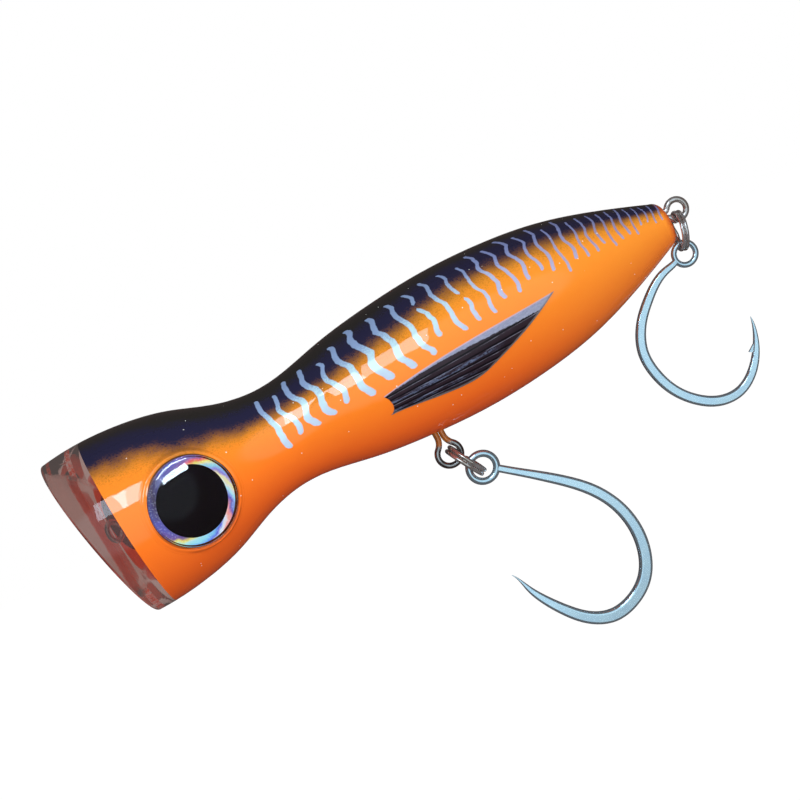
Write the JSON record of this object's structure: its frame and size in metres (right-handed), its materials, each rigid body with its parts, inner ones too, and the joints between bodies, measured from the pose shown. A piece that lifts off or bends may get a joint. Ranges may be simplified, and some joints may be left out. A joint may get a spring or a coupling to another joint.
{
  "type": "topwater popper",
  "caption": "Floating topwater fishing lure with a cupped clear nose, pinched waist, domed eyes, painted hollow body, wire line tie and single hooks hung on split rings.",
  "frame": {"origin": "centre of the hole of the line-tie loop, in the cup at the nose", "axes": "-X towards the nose and along the leader, +X towards the tail, +Z towards the back, left flank at -Y"},
  "size_m": [0.1778, 0.0464, 0.1095],
  "materials": {
    "painted_body": "orange flanks, black back with pale stripes, thick clear coat",
    "clear_nose": "clear polished polycarbonate",
    "wire": "bright stainless wire",
    "weight": "dull cast metal",
    "rattle_tube": "clear tube",
    "rattle_plug": "white plug",
    "steel_balls": "polished steel",
    "eye_foil": "holographic foil",
    "pupil": "black print",
    "eye_dome": "clear domed resin",
    "fin_foil": "dark rayed foil under clear coat",
    "split_rings": "bright stainless steel",
    "hooks": "satin blue-grey steel"
  },
  "bodies": {
    "lure_body": {"shell_left": "painted_body", "shell_right": "painted_body", "clear_cup": "clear_nose", "through_wire": "wire", "belly_hanger": "wire", "belly_weight": "weight", "tail_weight": "weight", "rattle_tube": "rattle_tube", "rattle_plug": "rattle_plug", "eye_foil_left": "eye_foil", "eye_foil_right": "eye_foil", "pupil_left": "pupil", "pupil_right": "pupil", "eye_dome_left": "eye_dome", "eye_dome_right": "eye_dome", "fin_foil_left": "fin_foil", "fin_foil_right": "fin_foil"},
    "rattle": {"rattle_balls": "steel_balls"},
    "belly_ring": {"belly_split_ring": "split_rings"},
    "belly_hook": {"belly_hook": "hooks"},
    "tail_ring": {"tail_split_ring": "split_rings"},
    "tail_hook": {"tail_hook": "hooks"}
  },
  "joints": [
    {"name": "rattle_slide", "type": "slide", "parent": "lure_body", "child": "rattle", "axis": [1, 0, 0], "range_m": [0, 0.0038]},
    {"name": "belly_ring_side_swing", "type": "hinge", "parent": "lure_body", "child": "belly_ring", "pos_m": [0.07866, 0, -0.0263], "axis": [0.8746, 0, 0.4848], "range_deg": [-45, 45]},
    {"name": "belly_hook_swing", "type": "hinge", "parent": "belly_ring", "child": "belly_hook", "pos_m": [0.0831, 0, -0.0326], "axis": [0, 1, 0], "range_deg": [-50, 105]},
    {"name": "tail_ring_side_swing", "type": "hinge", "parent": "lure_body", "child": "tail_ring", "pos_m": [0.1574, 0, -0.00129], "axis": [0.9563, 0, -0.2924], "range_deg": [-40, 40]},
    {"name": "tail_hook_swing", "type": "hinge", "parent": "tail_ring", "child": "tail_hook", "pos_m": [0.1552, 0, -0.0095], "axis": [0, 1, 0], "range_deg": [-110, 8]}
  ]
}
